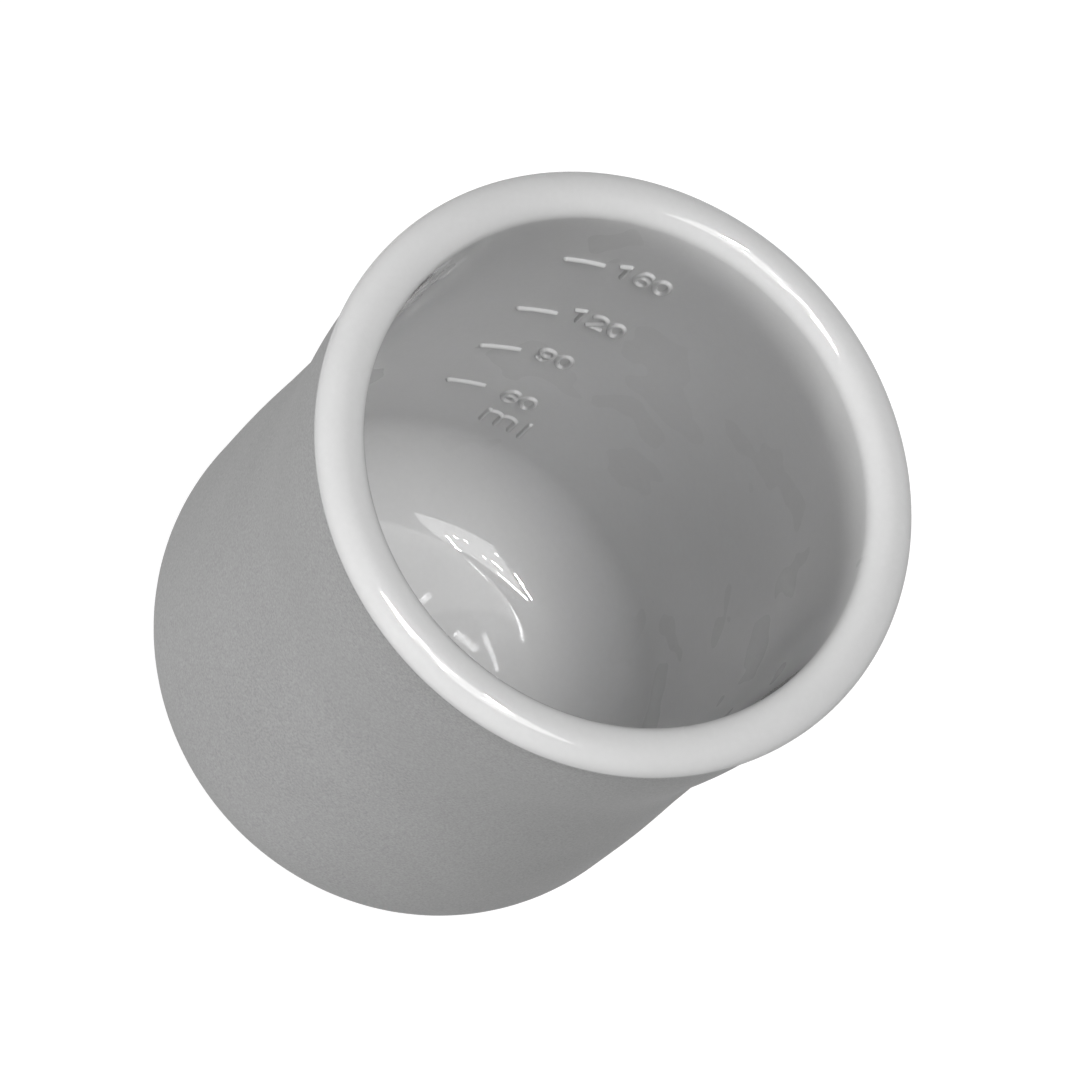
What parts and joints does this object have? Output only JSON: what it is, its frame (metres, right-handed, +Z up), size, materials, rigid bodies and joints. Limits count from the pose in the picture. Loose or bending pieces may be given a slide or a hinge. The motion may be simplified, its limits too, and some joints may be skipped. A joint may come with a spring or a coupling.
{
  "type": "paw washer cup",
  "caption": "Open round cup with a glossy inner liner, rolled rim and raised ml marks, seated in a matte waisted outer grip sleeve.",
  "frame": {"origin": "centre of the sleeve's flat base, on the surface that the cup stands on", "axes": "+Z up along the cup's axis, out of its mouth; the volume marks lie to the left of +Y as seen from -Y"},
  "size_m": [0.07, 0.07, 0.08],
  "materials": {
    "glossy_liner": "smooth, glossy light grey moulding",
    "matte_sleeve": "matte grey with a fine frosted grain"
  },
  "bodies": {
    "sleeve": {"outer_sleeve": "matte_sleeve"},
    "liner": {"inner_liner": "glossy_liner"}
  },
  "joints": [
    {"name": "liner_lift", "type": "slide", "parent": "sleeve", "child": "liner", "axis": [0, 0, 1], "range_m": [0, 0.08]}
  ]
}
